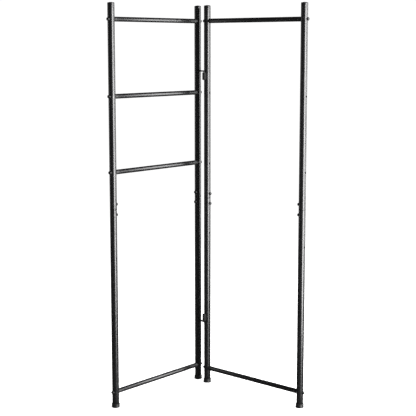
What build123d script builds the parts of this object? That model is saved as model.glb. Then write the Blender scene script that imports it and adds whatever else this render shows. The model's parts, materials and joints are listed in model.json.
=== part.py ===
"""Two-panel folding floor frame in round steel tube, knock-down, with plug-in rungs and pin hinges.

Z is up and the floor is z = 0. The inner post of panel A stands on the origin, panel A runs
along -X and panel B along -Y. In a post's own frame +X looks across the panel at its partner.
"""

import os
from math import hypot, sqrt

from build123d import *

os.makedirs("parts", exist_ok=True)

# ---- driving dimensions, mm
height = 1620.0                         # floor to the crown of the post plugs
post_d, post_wall = 28.0, 1.2
rung_d, rung_wall = 19.0, 1.0
post_pitch = 500.0                      # axis to axis across one panel
joint_z = 810.0                         # the upper tube stands on the lower one here
low_rung_z, rung_step = 65.0, 298.0
levels = [low_rung_z + rung_step * i for i in range(6)]     # drilled in every post
fitted = {"a": {"bottom": 0, "third": 3, "second": 4, "top": 5}, "b": {"bottom": 0, "top": 5}}

foot_d, foot_h, foot_floor = 34.0, 17.0, 4.0
plug_crown, plug_stem = 4.0, 16.0

thread_d, clear_d = 6.0, 6.5            # every bolt, screw, pin and nut is M6
level_hole_d = 7.5                      # wide, so that the rungs line up before the bolts are tight
nut_af, nut_h = 10.0, 5.0
splice_d, splice_wall, splice_len = 25.4, 1.2, 130.0
screw_offset, screw_len = 21.0, 11.0
screw_head_d, screw_head_h = 12.0, 7.0

bolt_len = 50.0
bolt_head_d, bolt_head_h, bolt_rim = 12.5, 6.5, 3.8
washer_t = 1.5
collar_t, stem_len = 12.0, 22.0         # rung plug, at its crown and inside the rung
insert_d, insert_len = 10.0, 12.0

pin_bend_r = 5.5
barrel_d, barrel_bore_d, barrel_len = 14.0, 6.1, 30.0
fold_x, fold_y = -31.0, -62.5           # fold axis, from the inner post of panel A
leg_z = {"upper": 1348.0, "lower": 272.0}
leg_tail = 6.6                          # leg past the far side of the post, in its cap nut
barrel_gap = 6.0                        # leg axis to the near end of the barrel
pin_tip = 2.0                           # pin showing past the far end of the barrel
running = 0.02                          # thread on thread, radial

# ---- derived
post_r, post_bore_r = post_d / 2, post_d / 2 - post_wall
tube_top = height - plug_crown
rung_start = post_r + collar_t
b_x, b_y = fold_x + post_r + barrel_d / 2, fold_y
reach = hypot(fold_x, fold_y)
toward_fold = (fold_x / reach, fold_y / reach, 0)

posts = {
    "a_outer": Plane((-post_pitch, 0, 0), x_dir=(1, 0, 0)),
    "a_inner": Plane((0, 0, 0), x_dir=(-1, 0, 0)),
    "b_inner": Plane((b_x, b_y, 0), x_dir=(0, -1, 0)),
    "b_outer": Plane((b_x, b_y - post_pitch, 0), x_dir=(0, 1, 0)),
}
from_base = (Align.CENTER, Align.CENTER, Align.MIN)
along_x, back_along_x = (0, 90, 0), (0, -90, 0)


def save(piece, name):
    """Labels a finished piece and writes its file."""
    piece.part.label = name
    export_step(piece.part, f"parts/{name}.step")


def upright(frame):
    """The plane through a post's axis: x is the radius, y is up."""
    return Plane(frame.origin, x_dir=frame.x_dir, z_dir=-frame.y_dir)


def bolts_in(frame, piece, x, rungs, turn):
    """One copy of a fastener at each fitted rung of a post, its own +Z turned out of the post."""
    with BuildPart(frame) as group:
        with Locations(*[Location((x, 0, levels[i]), turn) for i in rungs]):
            add(piece.part)
    return group


# ---- fasteners, each on its own Z, head up, z = 0 on the post's axis
with BuildPart() as rung_bolt:
    seat = post_r + washer_t
    with BuildSketch(Plane.XZ):
        with BuildLine():
            Polyline((0, seat + bolt_head_h), (0, seat - bolt_len), (thread_d / 2, seat - bolt_len),
                     (thread_d / 2, seat), (bolt_head_d / 2, seat), (bolt_head_d / 2, seat + bolt_rim))
            TangentArc((0, seat + bolt_head_h), (bolt_head_d / 2, seat + bolt_rim), tangent=(1, 0))
        make_face()
    revolve(axis=Axis.Z)
    chamfer(rung_bolt.edges().sort_by(Axis.Z)[0], 0.6)
    with BuildSketch(Plane.XY.offset(seat + bolt_head_h)):
        RegularPolygon(2.0, 6, major_radius=False)
    extrude(amount=-3.0, mode=Mode.SUBTRACT)

with BuildPart() as saddle_washer:
    Cylinder(bolt_head_d / 2, post_r + washer_t, align=from_base)
    Cylinder(clear_d / 2, post_r + washer_t, align=from_base, mode=Mode.SUBTRACT)
    Cylinder(post_r, post_d, rotation=along_x, mode=Mode.SUBTRACT)

with BuildPart() as splice_screw:
    with Locations((0, 0, post_r)):
        Cylinder(screw_head_d / 2, screw_head_h, align=from_base)
    fillet(splice_screw.edges().sort_by(Axis.Z)[-1], 2.6)
    with Locations((0, 0, post_r - screw_len)):
        Cylinder(thread_d / 2, screw_len, align=from_base)
    chamfer(splice_screw.edges().sort_by(Axis.Z)[0], 0.5)
    with BuildSketch(Plane.XY.offset(post_r + screw_head_h)):
        Rectangle(5.2, 1.1)
        Rectangle(1.1, 5.2)
    extrude(amount=-2.4, taper=12, mode=Mode.SUBTRACT)

with BuildPart() as hex_nut:
    with BuildSketch():
        RegularPolygon(nut_af / 2, 6, major_radius=False)
    extrude(amount=nut_h)
    with BuildSketch(Plane.XZ):
        with BuildLine():
            Polyline((4.6, nut_h), (6.4, nut_h), (6.4, nut_h - 1.04), (4.6, nut_h), close=True)
        make_face()
    revolve(axis=Axis.Z, mode=Mode.SUBTRACT)
    Cylinder(thread_d / 2 + running, nut_h, align=from_base, mode=Mode.SUBTRACT)

with BuildPart() as cap_nut:
    with BuildSketch():
        RegularPolygon(nut_af / 2, 6, major_radius=False)
    extrude(amount=nut_h)
    Cylinder(4.4, nut_h + 4.6, align=from_base)
    fillet(cap_nut.faces().sort_by(Axis.Z)[-1].edges(), 4.2)
    Cylinder(thread_d / 2 + running, leg_tail + 0.6, align=from_base, mode=Mode.SUBTRACT)

with BuildPart() as threaded_insert:
    Cylinder(insert_d / 2, insert_len, align=from_base)
    Cylinder(thread_d / 2 + running, insert_len, align=from_base, mode=Mode.SUBTRACT)
    chamfer(threaded_insert.edges().group_by(Axis.Z)[-1], 0.5)

# ---- the four posts
for post, frame in posts.items():
    panel = post[0]
    used = list(fitted[panel].values())
    hinge_side = post == "a_inner"

    for half, low, high in (("lower", foot_floor, joint_z), ("upper", joint_z, tube_top)):
        own = [z for z in levels if low < z < high]
        screw_z = joint_z + (screw_offset if half == "upper" else -screw_offset)
        with BuildPart(frame) as tube:
            with Locations((0, 0, low)):
                Cylinder(post_r, high - low, align=from_base)
            chamfer(tube.edges().group_by(Axis.Z)[0] + tube.edges().group_by(Axis.Z)[-1], 0.4)
            with Locations((0, 0, low)):
                Cylinder(post_bore_r, high - low, align=from_base, mode=Mode.SUBTRACT)
            with Locations(*[(0, 0, z) for z in own]):
                Cylinder(level_hole_d / 2, post_d + 2, rotation=along_x, mode=Mode.SUBTRACT)
            with Locations((post_r, 0, screw_z)):
                Cylinder(clear_d / 2, 2 * post_wall + 2, rotation=along_x, mode=Mode.SUBTRACT)
            if hinge_side:
                with BuildSketch(Plane((0, 0, leg_z[half]), z_dir=toward_fold)):
                    Circle(thread_d / 2 + 0.1)
                extrude(amount=post_d, both=True, mode=Mode.SUBTRACT)
        save(tube, f"{post}_{half}_tube")

    with BuildPart(frame) as splice:
        with Locations((0, 0, joint_z)):
            Cylinder(splice_d / 2, splice_len)
            Cylinder(splice_d / 2 - splice_wall, splice_len, mode=Mode.SUBTRACT)
        with Locations((splice_d / 2, 0, joint_z - screw_offset), (splice_d / 2, 0, joint_z + screw_offset)):
            Cylinder(clear_d / 2, 8, rotation=along_x, mode=Mode.SUBTRACT)
    save(splice, f"{post}_splice")

    with BuildPart(frame) as screws:
        with Locations(*[Location((0, 0, joint_z + s * screw_offset), along_x) for s in (-1, 1)]):
            add(splice_screw.part)
    save(screws, f"{post}_splice_screws")

    with BuildPart() as top_plug:
        with BuildSketch(upright(frame)):
            with BuildLine():
                Polyline((0, height), (0, tube_top - plug_stem + 2), (10.4, tube_top - plug_stem + 2),
                         (10.4, tube_top - plug_stem), (12.2, tube_top - plug_stem),
                         (post_bore_r - 0.1, tube_top - 1), (post_bore_r - 0.1, tube_top),
                         (post_r, tube_top), (post_r, tube_top + 1.4))
                TangentArc((0, height), (post_r, tube_top + 1.4), tangent=(1, 0))
            make_face()
        revolve(axis=Axis(frame.origin, (0, 0, 1)))
    save(top_plug, f"{post}_top_plug")

    with BuildPart() as foot:
        with BuildSketch(upright(frame)):
            with BuildLine():
                r = foot_d / 2
                Polyline((0, 0), (r - 3.2, 0))
                TangentArc((r - 3.2, 0), (r - 0.3, 2.8), tangent=(1, 0))
                Polyline((r - 0.3, 2.8), (r - 0.7, foot_h - 4.4))
                ThreePointArc((r - 0.7, foot_h - 4.4), (r, foot_h - 2.2), (r - 1.0, foot_h - 0.2))
                Polyline((r - 1.0, foot_h - 0.2), (r - 1.6, foot_h), (post_r, foot_h),
                         (post_r, foot_floor), (0, foot_floor), (0, 0))
            make_face()
        revolve(axis=Axis(frame.origin, (0, 0, 1)))
    save(foot, f"{post}_foot")

    save(bolts_in(frame, rung_bolt, 0, used, back_along_x), f"{post}_rung_bolts")
    save(bolts_in(frame, saddle_washer, 0, used, back_along_x), f"{post}_saddle_washers")

# ---- rungs, their end plugs and what the bolts draw up on, in each panel
for panel, rungs in fitted.items():
    outer, inner = posts[f"{panel}_outer"], posts[f"{panel}_inner"]
    for name, i in rungs.items():
        with BuildPart(outer) as rung:
            with Locations(Location((rung_start, 0, levels[i]), along_x)):
                Cylinder(rung_d / 2, post_pitch - 2 * rung_start, align=from_base)
                Cylinder(rung_d / 2 - rung_wall, post_pitch - 2 * rung_start, align=from_base,
                         mode=Mode.SUBTRACT)
        save(rung, f"{panel}_{name}_rung")

        with BuildPart(outer, inner) as rung_plugs:
            with Locations(Location((0, 0, levels[i]), along_x)):
                Cylinder(rung_d / 2, rung_start, align=from_base)
                Cylinder(rung_d / 2 - rung_wall - 0.05, rung_start + stem_len, align=from_base)
            with Locations((0, 0, levels[i])):
                Cylinder(post_r, 2 * rung_d, mode=Mode.SUBTRACT)
            with Locations(Location((0, 0, levels[i]), along_x)):
                Cylinder(clear_d / 2, rung_start, align=from_base, mode=Mode.SUBTRACT)
            with Locations(Location((rung_start, 0, levels[i]), along_x)):
                Cylinder(insert_d / 2, stem_len, align=from_base, mode=Mode.SUBTRACT)
        save(rung_plugs, f"{panel}_{name}_rung_plugs")

    with BuildPart(outer, inner) as inserts:
        with Locations(*[Location((rung_start, 0, levels[i]), along_x) for i in rungs.values()]):
            add(threaded_insert.part)
    save(inserts, f"{panel}_inserts")

    nut_seat = sqrt((splice_d / 2 - splice_wall) ** 2 - (nut_af / 2) ** 2) - running    # in the sleeve's bore
    with BuildPart(outer, inner) as splice_nuts:
        with Locations(*[Location((nut_seat, 0, joint_z + s * screw_offset), back_along_x)
                         for s in (-1, 1)]):
            add(hex_nut.part)
    save(splice_nuts, f"{panel}_splice_nuts")

# ---- hinges: bent pins on panel A, barrels welded to panel B
for which, z in leg_z.items():
    side = 1 if which == "lower" else -1        # the pins point at each other
    leg_plane = Plane((0, 0, z), x_dir=toward_fold, z_dir=(toward_fold[1], -toward_fold[0], 0))
    with BuildPart() as hinge_pin:
        with BuildLine(leg_plane):
            FilletPolyline((-post_r - leg_tail, 0), (reach, 0),
                           (reach, side * (barrel_gap + barrel_len + pin_tip)), radius=pin_bend_r)
        with BuildSketch(Plane(leg_plane.from_local_coords((-post_r - leg_tail, 0)), z_dir=toward_fold)):
            Circle(thread_d / 2)
        sweep()
        ends = hinge_pin.faces().filter_by(GeomType.PLANE)
        chamfer(ends.edges(), 0.6)
    save(hinge_pin, f"hinge_{which}_pin")

    barrel_z = z + side * (barrel_gap + barrel_len / 2)
    with BuildPart() as barrel:
        with Locations((fold_x, fold_y, barrel_z)):
            Cylinder(barrel_d / 2, barrel_len)
            chamfer(barrel.edges().filter_by(GeomType.CIRCLE), 0.5)
            Cylinder(barrel_bore_d / 2, barrel_len, mode=Mode.SUBTRACT)
    save(barrel, f"hinge_{which}_barrel")

    with BuildPart() as weld:
        with BuildSketch(posts["b_inner"].offset(barrel_z - barrel_len / 2 + 2)):
            with Locations((4.7, -post_r - 1.6), (-4.7, -post_r - 1.6)):
                Circle(2.6)
            Circle(post_r, mode=Mode.SUBTRACT)
            with Locations((0, -post_r - barrel_d / 2)):
                Circle(barrel_d / 2, mode=Mode.SUBTRACT)
        extrude(amount=barrel_len - 4)
    save(weld, f"hinge_{which}_weld")

fold_frame = Plane((0, 0, 0), x_dir=toward_fold)
for name, piece, seat, turn in (("lock", hex_nut, post_r, along_x), ("cap", cap_nut, -post_r, back_along_x)):
    with BuildPart(fold_frame) as nuts:
        with Locations(*[Location((seat, 0, z), turn) for z in leg_z.values()]):
            add(piece.part)
    save(nuts, f"hinge_{name}_nuts")
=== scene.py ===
# %% [markdown]
# # A folding frame of black steel tube
#
# The object stands in a V on four round foot caps: two panels, each of two upright posts with
# cross rungs between them. Every post is two lengths of tube set end to end over a sleeve, and the
# same six levels are drilled in each, so the panels can carry more or fewer rungs. The panels
# turn on two bent pins that drop into short barrels.
#
# The metalwork is already designed: this script loads it, keeps its places, and gives each piece
# the surface and the finish that the eye expects. Lengths below are millimetres until the
# moment they become a mesh, because a maker's drawing is in millimetres.

import json
from math import atan2, cos, hypot, pi, radians, sin, tan

import bpy
import numpy as np
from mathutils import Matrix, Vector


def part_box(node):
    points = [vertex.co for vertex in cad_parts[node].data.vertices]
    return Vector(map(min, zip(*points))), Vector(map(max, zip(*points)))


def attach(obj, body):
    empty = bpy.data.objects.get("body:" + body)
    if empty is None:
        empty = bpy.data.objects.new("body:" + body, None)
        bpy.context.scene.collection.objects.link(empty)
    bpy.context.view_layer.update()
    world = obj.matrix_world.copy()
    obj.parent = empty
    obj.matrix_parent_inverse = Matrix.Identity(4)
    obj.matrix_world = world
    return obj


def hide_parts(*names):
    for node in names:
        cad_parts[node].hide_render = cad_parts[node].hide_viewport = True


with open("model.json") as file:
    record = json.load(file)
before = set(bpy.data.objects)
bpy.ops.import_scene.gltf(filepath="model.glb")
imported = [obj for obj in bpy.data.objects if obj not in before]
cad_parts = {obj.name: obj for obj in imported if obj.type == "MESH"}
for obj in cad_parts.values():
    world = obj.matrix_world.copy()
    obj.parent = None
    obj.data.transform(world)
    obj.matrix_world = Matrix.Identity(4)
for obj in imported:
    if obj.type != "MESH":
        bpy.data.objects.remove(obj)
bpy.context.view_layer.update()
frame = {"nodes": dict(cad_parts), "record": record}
MM = 0.001

# %% [markdown]
# ## Where everything stands
#
# A piece that is placed by hand drifts as soon as the design changes. Here every place is asked
# of the frame: a post's axis is the middle of its lower tube, a rung's level is the middle of
# its own box, and the fold axis is the middle of a barrel.

# %% Ask the frame for its places
def span(node):
    """Lowest and highest corner of a CAD node, in millimetres."""
    return [np.array(corner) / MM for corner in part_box(node)]


def middle(node):
    """The centre of a CAD node's box, in millimetres."""
    return sum(span(node)) / 2


POSTS = ("a_outer", "a_inner", "b_inner", "b_outer")
partner = {"a_outer": "a_inner", "a_inner": "a_outer", "b_inner": "b_outer", "b_outer": "b_inner"}
RUNGS = {"a": ("bottom", "third", "second", "top"), "b": ("bottom", "top")}

axis_of = {post: middle(f"{post}_lower_tube") * (1, 1, 0) for post in POSTS}
across = {}
for post in POSTS:
    step = axis_of[partner[post]] - axis_of[post]
    across[post] = step / np.linalg.norm(step)
level = {(panel, name): middle(f"{panel}_{name}_rung")[2] for panel in RUNGS for name in RUNGS[panel]}
rung_step = level["a", "top"] - level["a", "second"]
drilled = [level["a", "bottom"] + rung_step * i for i in range(6)]
fold = middle("hinge_upper_barrel") * (1, 1, 0)
leg_reach = hypot(fold[0], fold[1])
toward_fold = fold / leg_reach
print("levels drilled in every post:", np.round(drilled, 1))
print("fold axis at", np.round(fold[:2], 1), "and", round(leg_reach, 1), "mm from the inner post")

# %% [markdown]
# ## The camera
#
# A product of this height is usually taken from standing eye level, a few metres back, with a
# short telephoto lens, so that the posts stay nearly parallel. The lens is moved down in its
# mount a little (a shift), as a studio camera does, which keeps the floor in the picture without
# tipping the posts. Depth of field stays off.

# %% Camera
camera_data = bpy.data.cameras.new("studio_camera")
camera_data.lens = 92.07
camera_data.sensor_width = 36.0
camera_data.shift_y = -0.03
camera = bpy.data.objects.new("studio_camera", camera_data)
camera.location = (-3.370, -3.033, 1.454)
LOOK_TURN = radians(41.44)                  # from +X towards +Y
LOOK_DOWN = radians(8.03)
camera.rotation_euler = (pi / 2 - LOOK_DOWN, 0, LOOK_TURN - pi / 2)
bpy.context.scene.collection.objects.link(camera)
bpy.context.scene.camera = camera
print("lens", camera_data.lens, "mm, eye height", camera.location.z, "m")

# %% [markdown]
# ## How a surface becomes a mesh
#
# Nearly everything on this object was turned, rolled or drawn, so nearly everything is a stack
# of rings. A ring is a row of points at one radius and height; joining each ring to the next
# with four-sided faces gives the skin. A solid piece ends in a pole at each end, and a hollow
# one, such as a washer, joins its last ring to its first.
#
# The rings run from the lower pole outwards, up the outside and in over the top. Taken in that
# order every face looks outwards, so nothing has to be flipped afterwards.

# %% Rings, skins and placing
def round_angles(count):
    """`count` even steps round a full turn."""
    return np.arange(count) * 2 * pi / count


def rings(rows, angles):
    """Row (r, z) becomes the ring (r cos a, r sin a, z). r and z are numbers or one value an angle."""
    radius = np.array([np.broadcast_to(r, angles.shape) for r, z in rows])
    height = np.array([np.broadcast_to(z, angles.shape) for r, z in rows])
    return np.stack([radius * np.cos(angles), radius * np.sin(angles), height], -1)


def arc(middle_r, middle_z, radius, start, end, steps=6):
    """Points (r, z) on a circle, from one angle to another in degrees: 0 is outwards, 90 is up."""
    turn = np.radians(np.linspace(start, end, steps))
    return list(zip(middle_r + radius * np.cos(turn), middle_z + radius * np.sin(turn)))


def between(first, second):
    """Faces that join two loops of point numbers: (a, next a, next b, b)."""
    return np.stack([first, np.roll(first, -1), np.roll(second, -1), second], -1)


def skin(stack, hollow=False):
    """Points and faces of a closed surface through a stack of rings, (rows, around, 3)."""
    rows, around, _ = stack.shape
    number = np.arange(rows * around).reshape(rows, around)
    nexts = np.roll(number, -1, 0) if hollow else number[1:]
    faces = [between(a, b) for a, b in zip(number, nexts)]
    points = stack.reshape(-1, 3)
    if not hollow:
        low, high = len(points), len(points) + 1
        points = np.vstack([points, stack[0].mean(0), stack[-1].mean(0)])
        first, last = number[0], number[-1]
        faces.append(np.stack([np.full(around, low), np.roll(first, -1), first], -1))
        faces.append(np.stack([np.full(around, high), last, np.roll(last, -1)], -1))
    return points, faces


def placed(shape, origin, up, forward=None):
    """Turns a shape's Z to `up` and its X as near `forward` as it goes, then moves it to `origin`."""
    z = np.array(up, float) / np.linalg.norm(up)
    if forward is None:
        forward = (1, 0, 0) if abs(z[2]) > 0.9 else (0, 0, 1)
    x = np.array(forward, float) - np.dot(forward, z) * z
    x /= np.linalg.norm(x)
    points, faces = shape
    return points @ np.array([x, np.cross(z, x), z]) + np.array(origin, float), faces


UP = (0, 0, 1)
finished = []


def make(node, shapes, finish, crease=32):
    """One Blender object for a CAD node: its shapes joined, smooth except past `crease` degrees."""
    points, faces, start = [], [], 0
    for shape_points, shape_faces in shapes:
        points.append(shape_points * MM)
        for block in shape_faces:
            faces += (block + start).tolist()
        start += len(shape_points)
    mesh = bpy.data.meshes.new(f"{node}_finished")
    mesh.from_pydata(np.vstack(points).tolist(), [], faces)
    mesh.shade_smooth()
    mesh.set_sharp_from_angle(angle=radians(crease))
    mesh.materials.append(finish)
    piece = bpy.data.objects.new(f"{node}_finished", mesh)
    bpy.context.scene.collection.objects.link(piece)
    body = next(b for b, nodes in frame["record"]["behaviour"]["bodies"].items() if node in nodes)
    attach(piece, body)
    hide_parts(node)
    finished.append(piece)
    return piece


# %% [markdown]
# ## Finishes
#
# A finish is a small tree of nodes under one Principled shader. The helper below adds a node,
# sets what it is given and links what it is given, so each finish reads from top to bottom.
# Colours are written as sRGB hex, the way a paint card gives them, and turned to linear light.
# Pattern scales are worked out from real sizes: a noise of scale `1 / size` in metres repeats
# about once in that size.

# %% Small helpers for finishes
def linear(colour):
    """An sRGB hex colour as linear red, green, blue and alpha."""
    parts = [int(colour[i:i + 2], 16) / 255 for i in (1, 3, 5)]
    return [c / 12.92 if c <= 0.04045 else ((c + 0.055) / 1.055) ** 2.4 for c in parts] + [1.0]


def add_node(tree, kind, settings=(), **sockets):
    """Adds a node. `settings` are its properties; a socket gets a value, or an output to link to."""
    added = tree.nodes.new(kind)
    for name, value in dict(settings).items():
        setattr(added, name, value)
    for name, value in sockets.items():
        target = next(s for s in added.inputs if s.identifier.replace(" ", "_") == name)
        if isinstance(value, bpy.types.NodeSocket):
            tree.links.new(value, target)
        else:
            target.default_value = value
    return added


def new_finish(name, colour, roughness, metallic=0.0, ior=1.5):
    """An empty finish with its Principled shader, and the place of a point on the object."""
    material = bpy.data.materials.new(name)
    material.use_nodes = True
    tree = material.node_tree
    shader = tree.nodes["Principled BSDF"]
    shader.inputs["Base Color"].default_value = linear(colour)
    shader.inputs["Roughness"].default_value = roughness
    shader.inputs["Metallic"].default_value = metallic
    if not metallic:
        shader.inputs["IOR"].default_value = ior
    place = add_node(tree, "ShaderNodeTexCoord").outputs["Object"]
    return material, tree, shader, place


def per_metre(millimetres):
    """The noise scale at which a pattern repeats about once in this many millimetres."""
    return 1.0 / (millimetres * MM)


def noise(tree, place, size, detail=2.0):
    """Soft noise with features about `size` millimetres across."""
    texture = add_node(tree, "ShaderNodeTexNoise", Vector=place, Scale=per_metre(size), Detail=detail)
    return texture.outputs["Fac"]


AMOUNT_LOW, AMOUNT_HIGH = 0.3, 0.7          # most of a noise lies between these two values


def shade(tree, amount, dark, light):
    """A colour that runs from one hex to another as `amount` goes from its low to its high value."""
    ramp = add_node(tree, "ShaderNodeValToRGB", Fac=amount)
    ramp.color_ramp.elements[0].position = AMOUNT_LOW
    ramp.color_ramp.elements[1].position = AMOUNT_HIGH
    ramp.color_ramp.elements[0].color = linear(dark)
    ramp.color_ramp.elements[1].color = linear(light)
    return ramp.outputs["Color"]


def spread(tree, amount, low, high):
    """A number that runs from `low` to `high` as `amount` goes from its low to its high value."""
    ranged = add_node(tree, "ShaderNodeMapRange", Value=amount, From_Min=AMOUNT_LOW,
                      From_Max=AMOUNT_HIGH, To_Min=low, To_Max=high)
    return ranged.outputs["Result"]


def bumps(tree, shader, *layers):
    """Stacks bump layers of (height output, depth in millimetres) on the shader's normal."""
    normal = None
    for height, depth in layers:
        sockets = {"Normal": normal} if normal else {}
        layer = add_node(tree, "ShaderNodeBump", Height=height, Distance=depth * MM, Strength=1.0,
                         **sockets)
        normal = layer.outputs["Normal"]
    tree.links.new(normal, shader.inputs["Normal"])


# %% [markdown]
# ### Powder coat on the tubes
#
# The tubes are sprayed with dry polyester powder that melts in an oven and flows into one
# skin, about 0.08 mm thick. It cures slightly wavy: the "orange peel" that breaks a highlight's
# edge up over a couple of millimetres. A semi-gloss black reflects a softbox as a clear but
# soft-edged stripe, while the colour itself is almost nothing.

# %% Black powder coat
def powder_coat():
    material, tree, shader, place = new_finish("semi_gloss_powder_coat", "#0b0b0c", 0.27)
    peel = noise(tree, place, 2.4, 1.0)
    flow = noise(tree, place, 9.0, 2.0)
    cloud = noise(tree, place, 60.0, 3.0)
    tree.links.new(shade(tree, cloud, "#09090a", "#0e0e0f"), shader.inputs["Base Color"])
    tree.links.new(spread(tree, flow, 0.25, 0.30), shader.inputs["Roughness"])
    bumps(tree, shader, (flow, 0.020), (peel, 0.010))
    return material


# %% [markdown]
# ### Blackened steel on the fasteners
#
# Bolts, screws, pins and nuts are phosphated and dipped in thin black lacquer. On a head this
# small the lacquer gives one bright spot and leaves the rest black, with fine cloudiness where
# the bath took unevenly.

# %% Black lacquered steel
def black_steel():
    material, tree, shader, place = new_finish("black_lacquered_steel", "#070707", 0.26)
    shader.inputs["Specular IOR Level"].default_value = 0.32
    cloud = noise(tree, place, 3.0, 3.0)
    grain = noise(tree, place, 0.35, 2.0)
    tree.links.new(shade(tree, cloud, "#050505", "#0a0a0b"), shader.inputs["Base Color"])
    tree.links.new(spread(tree, cloud, 0.22, 0.32), shader.inputs["Roughness"])
    bumps(tree, shader, (grain, 0.006))
    return material


# %% [markdown]
# ### Moulded plastic in the plugs and washers
#
# The post plugs, rung plugs and saddle washers are injection moulded polyethylene. The mould
# is spark eroded, which leaves an even grain of a few tenths of a millimetre that kills the
# gloss: beside the painted tube they read as a darker, matt band.

# %% Moulded polyethylene
def moulded_plastic():
    material, tree, shader, place = new_finish("moulded_polyethylene", "#0b0b0b", 0.58)
    grain = noise(tree, place, 0.5, 2.0)
    sink = noise(tree, place, 7.0, 1.0)
    tree.links.new(shade(tree, sink, "#090909", "#0e0e0e"), shader.inputs["Base Color"])
    tree.links.new(spread(tree, grain, 0.52, 0.64), shader.inputs["Roughness"])
    bumps(tree, shader, (sink, 0.02), (grain, 0.02))
    return material


# %% [markdown]
# ### Soft PVC in the foot caps
#
# The foot caps are soft PVC, which grips the tube by stretching over it and does not
# scratch a floor. It has a low waxy sheen, and the sides pick up a trace of grey dust.

# %% Soft PVC
def soft_pvc():
    material, tree, shader, place = new_finish("soft_pvc", "#0a0a0a", 0.42, ior=1.53)
    haze = noise(tree, place, 5.0, 3.0)
    grain = noise(tree, place, 0.8, 2.0)
    tree.links.new(shade(tree, haze, "#080808", "#0e0e0e"), shader.inputs["Base Color"])
    tree.links.new(spread(tree, haze, 0.36, 0.48), shader.inputs["Roughness"])
    bumps(tree, shader, (haze, 0.02), (grain, 0.012))
    return material


# %% [markdown]
# ### Stove paint on the barrels
#
# Welding burns the coat away, so the barrels and their beads are brushed with matt black stove
# paint afterwards. It is full of coarse pigment and shows hardly any highlight.

# %% Matt stove paint
def stove_paint():
    material, tree, shader, place = new_finish("matt_stove_paint", "#070707", 0.75)
    shader.inputs["Specular IOR Level"].default_value = 0.25
    brush = noise(tree, place, 1.6, 3.0)
    tree.links.new(shade(tree, brush, "#050505", "#0a0a0a"), shader.inputs["Base Color"])
    bumps(tree, shader, (brush, 0.03))
    return material


# %% [markdown]
# ### Bare steel in the bores
#
# The powder is sprayed at the outside and hardly reaches into a tube. Behind a drilled hole one
# sees the dull black scale that the tube had from the mill, which swallows nearly all light.

# %% Mill scale
def mill_scale():
    material, tree, shader, place = new_finish("mill_scale", "#060606", 0.85)
    flakes = noise(tree, place, 4.0, 3.0)
    shader.inputs["Specular IOR Level"].default_value = 0.1
    tree.links.new(shade(tree, flakes, "#040404", "#090808"), shader.inputs["Base Color"])
    bumps(tree, shader, (flakes, 0.02))
    return material


# %% [markdown]
# ### Zinc plate on the hidden steel
#
# The sleeves, their nuts and the threaded inserts never show on the assembled frame, so they
# stay in plain bright zinc: a silver grey with a faint blue, broken into small crystals.

# %% Bright zinc plate
def zinc_plate():
    material, tree, shader, place = new_finish("bright_zinc_plate", "#b8bbc0", 0.30, metallic=1.0)
    crystals = add_node(tree, "ShaderNodeTexVoronoi", Vector=place, Scale=per_metre(1.5))
    tree.links.new(shade(tree, crystals.outputs["Distance"], "#aeb2b8", "#c4c6c9"),
                   shader.inputs["Base Color"])
    tree.links.new(spread(tree, crystals.outputs["Distance"], 0.26, 0.38), shader.inputs["Roughness"])
    return material


# %% Make each finish once
COAT = powder_coat()
FASTENER = black_steel()
PLASTIC = moulded_plastic()
RUBBER = soft_pvc()
STOVE = stove_paint()
SCALE = mill_scale()
STEEL = zinc_plate()
print("finishes:", ", ".join(m.name for m in (COAT, FASTENER, PLASTIC, RUBBER, STOVE, SCALE, STEEL)))

# %% [markdown]
# ## The drilled posts
#
# A post is a tube of 28 mm with a 1.2 mm wall, drilled right through at six levels. A boolean
# would cut the holes, and leave long thin triangles that shade badly on a glossy tube.
# Instead the tube is a grid of rings, with a band of close rings at each drilled level. In the
# band a square patch of the grid is left out, and its edge is drawn in, ring by ring, to the
# round rim of the hole. The powder coat rounds every drilled edge, so the rim rolls over.
#
# The same patch is made on the outer and the inner wall, and the two rims are joined through
# the thickness of the wall.

# %% A drilled tube
AROUND = 64                                 # points round a tube
PATCH = 8                                   # a patch reaches this many points each way
PATCH_HALF = 11.0                           # and this far up and down
PATCH_RINGS = 6                             # rings of points from a hole's rim out to the square
RIM_CROWDING = 1.2                          # above 1, those rings stand closer together at the rim
EDGE, BURR = 0.35, 0.15                     # rounding outside and inside, mm


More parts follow.
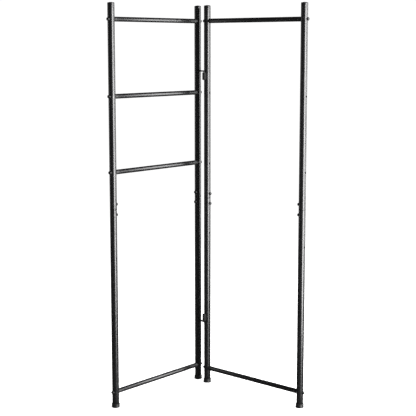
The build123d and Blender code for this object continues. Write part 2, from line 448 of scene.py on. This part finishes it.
def drilled_wall(radius, low, high, holes, rim):
    """One wall as rings at chosen heights, and at each hole rings that run from a square to a circle.

    `holes` lists (height, radius, angle in degrees, right through). The hole's rim is the circle
    (y, z) = r (cos t, sin t) seen along its own axis, so on the wall it lies at the angle whose
    sine is y / radius.
    """
    turn = 2 * pi / AROUND
    heights, twists, bands = [low], [0.0], []
    for height, hole, angle, through in sorted(holes):
        column = round(radians(angle) / turn)
        bands.append((len(heights) + PATCH, column, height, hole, angle, through))
        heights += list(height + np.linspace(-PATCH_HALF, PATCH_HALF, 2 * PATCH + 1))
        twists += [radians(angle) - column * turn] * (2 * PATCH + 1)
    heights, twists = np.array(heights + [high]), np.array(twists + [0.0])
    angles = twists[:, None] + round_angles(AROUND)[None, :]
    points = [np.stack([radius * np.cos(angles), radius * np.sin(angles),
                        np.broadcast_to(heights[:, None], angles.shape)], -1).reshape(-1, 3)]
    number = np.arange(angles.size).reshape(angles.shape)
    keep = np.ones((len(heights) - 1, AROUND), bool)
    count, faces, rims = angles.size, [], []
    step = np.arange(4 * 2 * PATCH)
    around_square = np.minimum(step, len(step) - step)
    side = np.clip(2 * PATCH - around_square, -PATCH, PATCH)
    rise = np.roll(side, 2 * PATCH)
    t = round_angles(len(step))
    for row, column, height, hole, angle, through in bands:
        for half_turn in ((0, AROUND // 2) if through else (0,)):
            centre = column + half_turn
            columns = np.arange(centre - PATCH, centre + PATCH) % AROUND
            keep[np.ix_(np.arange(row - PATCH, row + PATCH), columns)] = False
            square = number[row + rise, (centre + side) % AROUND]
            share = np.linspace(0, 1, PATCH_RINGS + 1)[:-1, None] ** RIM_CROWDING
            rim_angle = np.arcsin((hole + rim) * np.cos(t) / radius)
            spin = (1 - share) * rim_angle + share * side * turn
            lift = (1 - share) * (hole + rim) * np.sin(t) + share * rise * PATCH_HALF / PATCH
            spin = spin + radians(angle) + half_turn * turn
            points.append(np.stack([radius * np.cos(spin), radius * np.sin(spin), height + lift],
                                   -1).reshape(-1, 3))
            fresh = count + np.arange(share.size * len(step)).reshape(share.size, -1)
            loops = np.vstack([fresh, square])
            faces += [between(outer, inner)[:, ::-1] for inner, outer in zip(loops[1:], loops[:-1])]
            rims.append(loops[0])
            count += share.size * len(step)
    grid = np.stack([between(a, b) for a, b in zip(number, number[1:])])
    faces.append(grid[keep])
    return np.vstack(points), faces, rims, number[0], number[-1]


def drilled_tube(radius, wall, low, high, holes=()):
    """A tube with rounded ends: outer wall, inner wall turned to face the bore, rims and ends joined."""
    bore = radius - wall
    outside = drilled_wall(radius, low + EDGE, high - EDGE, holes, EDGE)
    inside = drilled_wall(bore, low + BURR, high - BURR, holes, BURR)
    shift = len(outside[0])
    points = [outside[0], inside[0]]
    faces = outside[1] + [block[:, ::-1] + shift for block in inside[1]]
    count = shift + len(inside[0])

    def bridge(first, rows, last):
        """Joins two loops by way of new rings of points."""
        nonlocal count
        loops = [first]
        for ring in rows:
            points.append(ring)
            loops.append(count + np.arange(len(ring)))
            count += len(ring)
        loops.append(last)
        return [between(a, b) for a, b in zip(loops, loops[1:])]

    t = round_angles(8 * PATCH)
    quarter = np.radians([30, 60, 90])
    rim_of = iter(zip(outside[2], inside[2]))
    for height, hole, angle, through in sorted(holes):
        for flip in ((0, 180) if through else (0,)):
            rows = [(hole + EDGE - EDGE * sin(q), EDGE - EDGE * cos(q)) for q in quarter]
            rows += [(hole + BURR - BURR * sin(q), wall - BURR + BURR * cos(q)) for q in quarter[::-1]]
            ring_set = []
            for reach, depth in rows:
                y = reach * np.cos(t)
                x = np.sqrt((radius - depth) ** 2 - y ** 2)
                turn = radians(angle + flip)
                ring_set.append(np.stack([x * cos(turn) - y * sin(turn), x * sin(turn) + y * cos(turn),
                                          height + reach * np.sin(t)], -1))
            outer_rim, inner_rim = next(rim_of)
            faces += bridge(outer_rim, ring_set, inner_rim + shift)

    angles = round_angles(AROUND)
    lip = [(radius - EDGE + EDGE * cos(q), EDGE * sin(q)) for q in quarter]
    lip += [(bore + BURR - BURR * cos(q), BURR * sin(q)) for q in quarter[::-1]]
    rise = [high - EDGE] * len(quarter) + [high - BURR] * len(quarter)
    top = [rings([(r, base + z)], angles)[0] for (r, z), base in zip(lip, rise)]
    faces += bridge(outside[4], top, inside[4] + shift)
    fall = [low + EDGE] * len(quarter) + [low + BURR] * len(quarter)
    foot = [rings([(r, base - z)], angles)[0] for (r, z), base in zip(lip, fall)]
    faces += [block[:, ::-1] for block in bridge(outside[3], foot, inside[3] + shift)]

    points = np.vstack(points)
    used = np.unique(np.concatenate([block.ravel() for block in faces]))
    new_number = np.full(len(points), -1)
    new_number[used] = np.arange(len(used))
    return points[used], [new_number[block] for block in faces]


# %% The eight post tubes
POST_R, POST_WALL = 14.0, 1.2
LEVEL_HOLE_R, BOLT_HOLE_R, LEG_HOLE_R = 3.75, 3.25, 3.1
SCREW_OFFSET = 21.0                         # splice screws, above and below the joint
joint_z = span("a_inner_lower_tube")[1][2]
PIN_R = 3.0
BORE_SLACK = 0.1                            # a face this near the bore still belongs to it, mm
leg_z = {"upper": span("hinge_upper_pin")[1][2] - PIN_R, "lower": span("hinge_lower_pin")[0][2] + PIN_R}


def scale_inside(piece, axis_point, along, bore):
    """Gives a tube's bare inner wall, every face nearer the tube's axis than `bore`, the mill scale."""
    piece.data.materials.append(SCALE)
    for face in piece.data.polygons:
        away = np.array(face.center) / MM - axis_point
        away -= (away @ along) * along
        face.material_index = int(np.linalg.norm(away) < bore + BORE_SLACK)


for post in POSTS:
    for half, sign in (("lower", -1), ("upper", 1)):
        tube = f"{post}_{half}_tube"
        low, high = span(tube)[0][2], span(tube)[1][2]
        holes = [(z, LEVEL_HOLE_R, 0.0, True) for z in drilled if low < z < high]
        holes.append((joint_z + sign * SCREW_OFFSET, BOLT_HOLE_R, 0.0, False))
        if post == "a_inner":
            facing, leg = across[post], toward_fold
            turn = np.degrees(atan2(facing[0] * leg[1] - facing[1] * leg[0], facing @ leg)) % 360
            holes.append((leg_z[half], LEG_HOLE_R, turn, True))
        drilled_post = drilled_tube(POST_R, POST_WALL, low, high, holes)
        shape = placed(drilled_post, axis_of[post], UP, across[post])
        made = make(tube, [shape], COAT)
        scale_inside(made, axis_of[post], np.array(UP, float), POST_R - POST_WALL)
    print(post, "tubes:", len(made.data.polygons), "faces in the upper one")

# %% [markdown]
# ## The rungs
#
# A rung is 19 mm tube, cut square and pushed over a plug at each end. It needs no drilling, so
# the same function makes it with an empty list of holes, laid along the panel.

# %% Six rungs
RUNG_R, RUNG_WALL = 9.5, 1.0
for panel, names in RUNGS.items():
    outer = f"{panel}_outer"
    for name in names:
        tube = f"{panel}_{name}_rung"
        half_length = (span(tube)[1] - span(tube)[0]) @ np.abs(across[outer]) / 2
        plain_rung = drilled_tube(RUNG_R, RUNG_WALL, -half_length, half_length)
        shape = placed(plain_rung, middle(tube), across[outer])
        made = make(tube, [shape], COAT)
        scale_inside(made, middle(tube), across[outer], RUNG_R - RUNG_WALL)
print("rung length", round(2 * half_length, 1), "mm")

# %% [markdown]
# ## Foot caps and post plugs
#
# Both are mouldings that were turned in the mould maker's lathe, so each is one profile spun
# round the post. The cap is widest at a rolled bead at its mouth, pulls in to a slight waist
# and spreads again above a rounded sole. The plug is a shallow dome on a tapered stem that
# hides inside the tube. Each profile is straight runs joined by true arcs.

# %% Foot caps and post plugs
def foot_cap():
    """Sole, rounded heel, waisted side, rolled bead, mouth, then down inside to the cap's floor."""
    r, height, floor = 17.0, 17.0, 4.0
    rows = [(4.0, 0), (9.0, 0), (r - 3.2, 0)]
    rows += arc(r - 3.1, 2.9, 2.9, -80, 0, 7)
    rows += [(r - 0.45, 5.5), (r - 0.7, 8.5), (r - 0.75, height - 5.2)]
    rows += arc(r - 1.5, height - 2.4, 1.5, -60, 75, 9)
    rows += arc(POST_R + 0.9, height - 0.5, 0.5, 90, 180, 4)
    rows += [(POST_R + 0.1, height - 2.5), (POST_R, floor + 0.6), (POST_R - 0.6, floor), (6.0, floor)]
    return skin(rings(rows, round_angles(AROUND)))


def post_plug(mouth):
    """Hollow underside, tapered stem, flange on the tube's end, rounded edge and domed crown."""
    crown, edge, stem = 4.0, 1.4, 16.0
    dome = (POST_R ** 2 + (crown - edge) ** 2) / (2 * (crown - edge))
    lean = np.degrees(np.arcsin(POST_R / dome))
    rows = [(4.0, mouth - stem + 2), (10.0, mouth - stem + 2), (10.4, mouth - stem + 1.6)]
    rows += [(10.4, mouth - stem), (12.2, mouth - stem), (12.7, mouth - 1), (12.7, mouth)]
    rows += [(POST_R - 0.25, mouth)] + arc(POST_R - 0.2, mouth + 0.2, 0.2, -60, 0, 3)
    rows += arc(POST_R - 0.7, mouth + edge - 0.4, 0.7, 0, 90 - 1.6 * lean, 6)
    rows += arc(0, mouth + crown - dome, dome, 90 - 0.94 * lean, 90 - 0.06 * lean, 12)
    return skin(rings(rows, round_angles(AROUND)))


for post in POSTS:
    make(f"{post}_foot", [placed(foot_cap(), axis_of[post], UP)], RUBBER)
    mouth = span(f"{post}_upper_tube")[1][2]
    make(f"{post}_top_plug", [placed(post_plug(mouth), axis_of[post], UP)], PLASTIC)
print("tube mouth at", round(mouth, 1), "mm, crown at", round(span("a_inner_top_plug")[1][2], 1))

# %% [markdown]
# ## What sits on a post's side
#
# Rung plugs and saddle washers bear on the round of the post, so the end that meets it is a
# saddle. Seen along the rung's axis the piece is round, and the saddle's depth follows the
# post: at a point y to the side of the axis the post's surface is at the square root of
# R squared less y squared. Everything else on the two pieces is plain turning.

# %% Rung plugs and saddle washers
WASHER_T = 1.5                              # a washer's thickness over the crown of the post


def saddle(radius, angles, lift=0.0):
    """A ring that lies on the post: at side offset y its height is sqrt(R^2 - y^2), plus a lift."""
    return radius, np.sqrt(POST_R ** 2 - (radius * np.sin(angles)) ** 2) + lift


def rung_plug():
    """Saddle, rounded collar as wide as the rung, shoulder, stem in the rung, bore for the insert."""
    collar_end, stem_r, stem_end, insert_r = 26.0, 8.45, 48.0, 5.0
    angles = round_angles(AROUND)
    rows = [saddle(BOLT_HOLE_R, angles), saddle(6.0, angles), saddle(8.0, angles)]
    rows += [saddle(RUNG_R - 0.35, angles), saddle(RUNG_R - 0.1, angles, 0.1)]
    rows += [saddle(RUNG_R, angles, 0.35)]
    rows += [(RUNG_R, collar_end - 0.5)] + arc(RUNG_R - 0.4, collar_end - 0.4, 0.4, 0, 90, 4)
    rows += [(stem_r, collar_end), (stem_r, stem_end - 1.0), (stem_r - 1.0, stem_end)]
    rows += [(insert_r, stem_end), (insert_r, collar_end), (BOLT_HOLE_R, collar_end)]
    return skin(rings(rows, angles), hollow=True)


def saddle_washer():
    """Saddle under, flat on top, with both outer edges rounded."""
    rim, top = 6.25, POST_R + WASHER_T
    angles = round_angles(48)
    rows = [saddle(BOLT_HOLE_R, angles), saddle(5.0, angles)]
    rows += [saddle(rim - 0.2, angles), saddle(rim, angles, 0.2)]
    rows += arc(rim - 0.35, top - 0.35, 0.35, 0, 90, 4) + [(BOLT_HOLE_R, top)]
    return skin(rings(rows, angles), hollow=True)


def at_post(shape, post, height, outward):
    """A fastener's own Z laid across the panel, out of the panel or into it, with its X up."""
    return placed(shape, axis_of[post] + (0, 0, height), across[post] * (-1 if outward else 1))


for panel, names in RUNGS.items():
    ends = (f"{panel}_outer", f"{panel}_inner")
    for name in names:
        plugs = [at_post(rung_plug(), post, level[panel, name], False) for post in ends]
        make(f"{panel}_{name}_rung_plugs", plugs, PLASTIC)
    for post in ends:
        washers = [at_post(saddle_washer(), post, level[panel, name], True) for name in names]
        make(f"{post}_saddle_washers", washers, PLASTIC)

# %% [markdown]
# ## Bolts, screws and nuts
#
# Fasteners mix round and sided shapes. They are still stacks of rings, but a ring's radius may
# change with the angle: a hexagon's edge lies at a / cos(b), with a half its width across flats
# and b the angle from the middle of the nearest side. A cross recess is the larger of two such
# slots at right angles. Points are set at the corners, so the corners stay sharp.

# %% Sided radii
FINE = round_angles(48)


def hexagon(across_flats):
    """Distance to a hexagon's edge: half its width over the cosine from the nearest flat's middle."""
    return across_flats / 2 / np.cos((FINE + pi / 6) % (pi / 3) - pi / 6)


def cross(length, width, angles):
    """Distance to a cross's edge: the further of two slots, each ending at its side or its end."""
    c, s = np.maximum(np.abs(np.cos(angles)), 1e-9), np.maximum(np.abs(np.sin(angles)), 1e-9)
    lying = np.minimum(length / 2 / c, width / 2 / s)
    standing = np.minimum(length / 2 / s, width / 2 / c)
    return np.maximum(lying, standing)


# %% Rung bolts: a low dome with a six-sided socket
def rung_bolt():
    """Pointed tip, shank, flat under the head, rounded rim, dome, and a hexagonal socket in it."""
    seat, length, shank_r = POST_R + WASHER_T, 50.0, 3.0
    head_r, head_h, rim_h = 6.25, 6.5, 3.8
    socket, socket_depth, mouth_r = 4.0, 3.0, 2.75
    dome = (head_r ** 2 + (head_h - rim_h) ** 2) / (2 * (head_h - rim_h))
    centre = seat + head_h - dome
    lean = np.degrees(np.arcsin(head_r / dome))
    mouth = np.degrees(np.arcsin(mouth_r / dome))
    brim = np.degrees(np.arcsin((head_r - 0.45) / dome))
    end = seat - length
    rows = [(1.2, end), (2.4, end), (shank_r, end + 0.6), (shank_r, seat - 0.01)]
    rows += [(shank_r, seat), (head_r - 0.4, seat)] + arc(head_r - 0.3, seat + 0.3, 0.3, -90, 0, 4)
    rows += [(head_r, seat + rim_h - 0.6), (head_r - 0.12, seat + rim_h - 0.15)]
    rows += arc(0, centre, dome, 90 - brim, 90 - mouth, 9)
    rows += [(hexagon(socket) + 0.12, seat + head_h - 0.45), (hexagon(socket), seat + head_h - 0.7)]
    rows += [(hexagon(socket), seat + head_h - socket_depth), (0.8, seat + head_h - socket_depth - 0.5)]
    return skin(rings(rows, FINE))


# %% Splice screws: a pan head with a cross recess
def splice_screw():
    """Tip, shank, rounded pan head, and a tapered cross recess whose corners keep their own points."""
    shank_r, length, head_r, head_h = 3.0, 11.0, 6.0, 7.0
    slot_length, slot_width, slot_depth, taper = 5.2, 1.1, 2.4, 0.82
    corner = np.degrees(np.arctan2(slot_width, slot_length))
    quarter = np.concatenate([np.linspace(-corner, corner, 5), [18, 25, 35, 45, 55, 65, 72]])
    angles = np.radians(np.concatenate([quarter + 90 * k for k in range(4)]))
    top = POST_R + head_h
    rows = [(1.0, POST_R - length), (shank_r - 0.5, POST_R - length), (shank_r, POST_R - length + 0.5)]
    rows += [(shank_r, POST_R), (head_r - 0.4, POST_R)] + arc(head_r - 0.3, POST_R + 0.3, 0.3, -90, 0, 3)
    rows += arc(head_r - 2.6, top - 2.6, 2.6, 0, 84, 9) + [(2.98, top)]
    recess = cross(slot_length, slot_width, angles)
    rows += [(recess, top), (recess * 0.97, top - 0.15), (recess * taper, top - slot_depth)]
    return skin(rings(rows, angles))


# %% Lock nuts and cap nuts for the hinge pins
NUT_AF, NUT_H = 10.0, 5.0
FACE_SHARE = 0.475                          # radius of a nut's flat face over its width across flats


def chamfered(across_flats):
    """How far a hexagon's edge drops under a 30 degree cone that touches just inside its flats."""
    return tan(pi / 6) * np.maximum(hexagon(across_flats) - across_flats * FACE_SHARE, 0)


def lock_nut():
    """Bore, chamfered underside, six flats, chamfered top, back into the bore."""
    bore, drop = PIN_R + 0.02, chamfered(NUT_AF)
    rows = [(bore, 0.5), (bore + 0.4, 0), (NUT_AF * FACE_SHARE, 0), (hexagon(NUT_AF), drop)]
    rows += [(hexagon(NUT_AF), NUT_H - drop), (NUT_AF * FACE_SHARE, NUT_H)]
    rows += [(bore + 0.4, NUT_H), (bore, NUT_H - 0.5)]
    return skin(rings(rows, FINE), hollow=True)


def cap_nut():
    """Six flats on a chamfered base, a neck, and a dome that closes over the pin's end."""
    dome_r, dome_top, bore, depth = 4.4, 9.6, PIN_R + 0.02, 7.2
    drop = chamfered(NUT_AF)
    rows = [(bore, 0.3), (bore + 0.3, 0), (NUT_AF * FACE_SHARE, 0), (hexagon(NUT_AF), drop)]
    rows += [(hexagon(NUT_AF), NUT_H - drop), (NUT_AF * FACE_SHARE, NUT_H), (dome_r, NUT_H + 0.05)]
    rows += arc(dome_r - 4.2, dome_top - 4.2, 4.2, 0, 86, 10)
    outside = rings(rows, FINE)
    inside = rings([(0.6, depth), (bore, depth - 0.6)], FINE)
    return skin(np.concatenate([inside, outside]))


for panel, names in RUNGS.items():
    for post in (f"{panel}_outer", f"{panel}_inner"):
        bolts = [at_post(rung_bolt(), post, level[panel, name], True) for name in names]
        make(f"{post}_rung_bolts", bolts, FASTENER)
        screw_levels = (joint_z - SCREW_OFFSET, joint_z + SCREW_OFFSET)
        screws = [at_post(splice_screw(), post, z, False) for z in screw_levels]
        make(f"{post}_splice_screws", screws, FASTENER)

lock_nuts = [placed(lock_nut(), toward_fold * POST_R + (0, 0, z), toward_fold) for z in leg_z.values()]
make("hinge_lock_nuts", lock_nuts, FASTENER)
cap_nuts = [placed(cap_nut(), -toward_fold * POST_R + (0, 0, z), -toward_fold) for z in leg_z.values()]
make("hinge_cap_nuts", cap_nuts, FASTENER)
print("fasteners made,", len(finished), "pieces so far")

# %% [markdown]
# ## The bent hinge pins
#
# Each pin is 6 mm rod bent to a right angle, on a radius of 5.5 mm to the middle of the rod. Its
# long leg crosses the inner post of panel A, and its short leg drops into a barrel on panel B. The
# rod is a circle carried along the bend: at every point of the path the circle is spanned by the
# bend's inward normal and the direction square to the plane of the bend.
#
# The thread for the nuts is in the same formula: the radius loses a saw tooth that depends on
# the distance along the rod less the angle round it, which winds into a helix.

# %% Bent pins with a rolled thread
BEND_R, THREAD_PITCH, THREAD_DEPTH = 5.5, 1.0, 0.5
LEG_TAIL, NUT_ROOM = 20.6, 25.0


def bent_pin(drop):
    """Straight leg, quarter bend and straight tip in the plane of `toward_fold` and Z.

    Point = centre(s) + r (cos a * inward normal + sin a * plane normal), with s the way along.
    """
    side = np.sign(drop)
    corner = leg_reach - BEND_R
    threaded = np.arange(-LEG_TAIL + 0.8, NUT_ROOM, THREAD_PITCH / 8)
    plain = np.linspace(NUT_ROOM, corner, 8)
    bend = np.linspace(0, pi / 2, 17)[1:]
    tip = np.linspace(BEND_R, abs(drop) - 0.7, 5)[1:]
    u = np.concatenate([[-LEG_TAIL, -LEG_TAIL], threaded, plain, corner + BEND_R * np.sin(bend),
                        [leg_reach] * (len(tip) + 2)])
    v = side * np.concatenate([[0, 0], 0 * threaded, 0 * plain, BEND_R - BEND_R * np.cos(bend), tip,
                               [abs(drop), abs(drop)]])
    lean = np.concatenate([np.zeros(2 + len(threaded) + len(plain)), bend, [pi / 2] * (len(tip) + 2)])
    radius = np.full(len(u), PIN_R)
    radius[:2], radius[-2:] = (1.2, 2.4), (2.4, 1.2)
    saw = np.abs((u[:, None] / THREAD_PITCH - side * FINE[None, :] / (2 * pi)) % 1 - 0.5) * 2
    thread = (u > -LEG_TAIL + 1.6) & (u < NUT_ROOM - 1.0) & (lean == 0)
    r = radius[:, None] - np.where(thread, THREAD_DEPTH, 0)[:, None] * saw
    flat = -np.sin(lean), side * np.cos(lean)
    plane = np.array([toward_fold[1], -toward_fold[0], 0]) * side
    inward = flat[0][:, None] * toward_fold + flat[1][:, None] * np.array(UP)
    middle_line = u[:, None] * toward_fold + v[:, None] * np.array(UP)
    stack = (middle_line[:, None] + (r * np.cos(FINE))[..., None] * inward[:, None]
             + (r * np.sin(FINE))[..., None] * plane)
    return skin(stack)


for which, sign in (("upper", -1), ("lower", 1)):
    low, high = span(f"hinge_{which}_pin")
    drop = sign * (high[2] - low[2] - PIN_R)
    points, faces = bent_pin(drop)
    make(f"hinge_{which}_pin", [(points + (0, 0, leg_z[which]), faces)], FASTENER, 50)
print("pins drop", round(abs(drop), 1), "mm into their barrels")

# %% [markdown]
# ## Barrels and weld beads
#
# A barrel is a 30 mm offcut of thick tube, 14 mm outside and bored for the pin. It is welded to
# panel B's inner post by a bead down each side. A hand-held torch lays metal in overlapping
# pools, so the bead's radius swells and sinks along its length.

# %% Barrels and welds
BARREL_R, BORE_R = 7.0, 3.05
BEAD_R, BEAD_SIDE, BEAD_IN, POOL = 2.6, 4.7, 1.6, 2.2


def barrel(low, high):
    """Bore, chamfered ends and outer wall, as one hollow ring of a profile."""
    rows = [(BORE_R, low + 0.3), (BORE_R + 0.3, low), (BARREL_R - 0.6, low)]
    rows += arc(BARREL_R - 0.5, low + 0.5, 0.5, -70, 0, 4)
    rows += arc(BARREL_R - 0.5, high - 0.5, 0.5, 0, 70, 4)
    rows += [(BARREL_R - 0.6, high), (BORE_R + 0.3, high), (BORE_R, high - 0.3)]
    return skin(rings(rows, round_angles(48)), hollow=True)


def bead(low, high):
    """A rod whose radius follows the pools: r = R (0.93 + 0.09 |sin|), drawn down at both ends."""
    way = np.linspace(0, 1, 90)
    z = low + (high - low) * way
    taper = np.sqrt(np.clip(1 - np.clip(np.abs(2 * way - 1) * 1.06 - 0.06, 0, 1) ** 14, 0.04, 1))
    angles = round_angles(24)
    slant = (z[:, None] + 0.5 * np.cos(angles)[None, :]) / POOL
    r = BEAD_R * taper[:, None] * (0.93 + 0.09 * np.abs(np.sin(pi * slant)))
    height = np.broadcast_to(z[:, None], r.shape)
    return skin(np.stack([r * np.cos(angles), r * np.sin(angles), height], -1))


into_fold = fold - axis_of["b_inner"]
into_fold /= np.linalg.norm(into_fold)
sideways = np.cross(UP, into_fold)
for which in ("upper", "lower"):
    low, high = span(f"hinge_{which}_barrel")
    shape = placed(barrel(low[2], high[2]), fold, UP)
    make(f"hinge_{which}_barrel", [shape], STOVE)
    low, high = span(f"hinge_{which}_weld")
    start = axis_of["b_inner"] + into_fold * (POST_R + BEAD_IN)
    bead_feet = (start - sideways * BEAD_SIDE, start + sideways * BEAD_SIDE)
    beads = [placed(bead(low[2], high[2]), foot, UP) for foot in bead_feet]
    make(f"hinge_{which}_weld", beads, STOVE)

# %% [markdown]
# ## Steel that stays inside
#
# The sleeves in the posts, their nuts and the inserts in the rung plugs are right as designed
# and never seen, so their CAD meshes stay and only get the zinc plate.

# %% Plate the hidden steel
hidden = [n for n in frame["nodes"] if n.endswith(("_splice", "_splice_nuts", "_inserts"))]
for name in hidden:
    mesh = frame["nodes"][name].data
    mesh.materials.clear()
    mesh.materials.append(STEEL)
left_over = [n for n, o in frame["nodes"].items() if not o.hide_render and n not in hidden]
print("plated:", len(hidden), "- CAD nodes with no finish yet:", left_over)

# %% [markdown]
# ## Floor and light
#
# Glossy black has almost no colour of its own: what one sees on it is the studio. A tube shows
# each lamp as a stripe, at the place where its surface looks halfway between lamp and camera.
# So the lamps are placed by the stripe that they should draw. A lamp standing at twice an angle
# to the right of the camera lights the part of the tube that is turned by that angle.
#
# The floor and the backdrop are plain, and both come out white. The floor glows by itself and takes
# lamp light on top, so beside the feet it is about twice as bright as white. That spills over the
# dark edges in front of it and thins them a little. Darker paint under the glow would spill less.

# %% Floor
floor_mesh = bpy.data.meshes.new("studio_floor")
FLOOR_HALF = 9.0
floor_mesh.from_pydata([(-FLOOR_HALF, -FLOOR_HALF, 0), (FLOOR_HALF, -FLOOR_HALF, 0),
                        (FLOOR_HALF, FLOOR_HALF, 0), (-FLOOR_HALF, FLOOR_HALF, 0)], [], [(0, 1, 2, 3)])
floor = bpy.data.objects.new("studio_floor", floor_mesh)
bpy.context.scene.collection.objects.link(floor)
floor_paint, _, floor_shader, _ = new_finish("pale_studio_floor", "#f2f2f2", 0.9)
floor_shader.inputs["Specular IOR Level"].default_value = 0.0
floor_shader.inputs["Emission Color"].default_value = linear("#ffffff")
floor_shader.inputs["Emission Strength"].default_value = 0.96
floor_paint.cycles.emission_sampling = "NONE"       # not sampled as a lamp, which keeps grain down
floor_mesh.materials.append(floor_paint)
floor.visible_glossy = False
floor.visible_shadow = False

# %% Lamps and backdrop
to_camera = -np.array([cos(LOOK_TURN), sin(LOOK_TURN), 0])
to_right = np.array([sin(LOOK_TURN), -cos(LOOK_TURN), 0])
centre = np.array([-0.24, -0.28, 0])        # the lamps face this, about the middle of the V, metres


def softbox(name, turn, distance, low, high, width, radiance):
    """An evenly bright lamp `turn` degrees to the right of the camera, facing the object."""
    a = radians(turn)
    data = bpy.data.lights.new(name, "AREA")
    data.shape = "RECTANGLE"
    data.size, data.size_y = width, high - low
    data.energy = radiance * 4 * width * (high - low)
    lamp = bpy.data.objects.new(name, data)
    outward = cos(a) * to_camera + sin(a) * to_right
    lamp.location = centre + distance * outward + (0, 0, (low + high) / 2)
    heading = atan2(centre[1] - lamp.location.y, centre[0] - lamp.location.x)
    lamp.rotation_euler = (pi / 2, 0, heading - pi / 2)
    bpy.context.scene.collection.objects.link(lamp)
    return lamp


softbox("key_softbox", turn=50, distance=2.4, low=-0.25, high=2.4, width=1.25, radiance=19.5)
softbox("side_panel", turn=99, distance=2.6, low=0.15, high=2.6, width=1.2, radiance=8.0)
softbox("back_right_panel", turn=140, distance=3.0, low=0.5, high=2.4, width=2.0, radiance=0.8)
softbox("back_left_fill", turn=-110, distance=3.0, low=0.2, high=2.2, width=1.6, radiance=0.9)

world = bpy.data.worlds.new("white_backdrop")
world.use_nodes = True
world.cycles.sampling_method = "NONE"
bpy.context.scene.world = world
sky = world.node_tree
for old in list(sky.nodes):
    sky.nodes.remove(old)
path = add_node(sky, "ShaderNodeLightPath")
room = add_node(sky, "ShaderNodeBackground", Color=linear("#ffffff"), Strength=0.09)
backdrop = add_node(sky, "ShaderNodeBackground", Color=linear("#ffffff"), Strength=1.05)
seen = add_node(sky, "ShaderNodeMixShader", Fac=path.outputs["Is Camera Ray"])
sky.links.new(room.outputs[0], seen.inputs[1])
sky.links.new(backdrop.outputs[0], seen.inputs[2])
output = add_node(sky, "ShaderNodeOutputWorld")
sky.links.new(seen.outputs[0], output.inputs["Surface"])

bpy.context.scene.view_settings.view_transform = "Standard"
bpy.context.scene.view_settings.look = "None"

# %% [markdown]
# ## The triangle count
#
# The triangles of all the finished pieces are counted, and their sum is printed.

# %% The triangle count
print("triangles", sum(len(p.vertices) - 2 for o in finished for p in o.data.polygons))
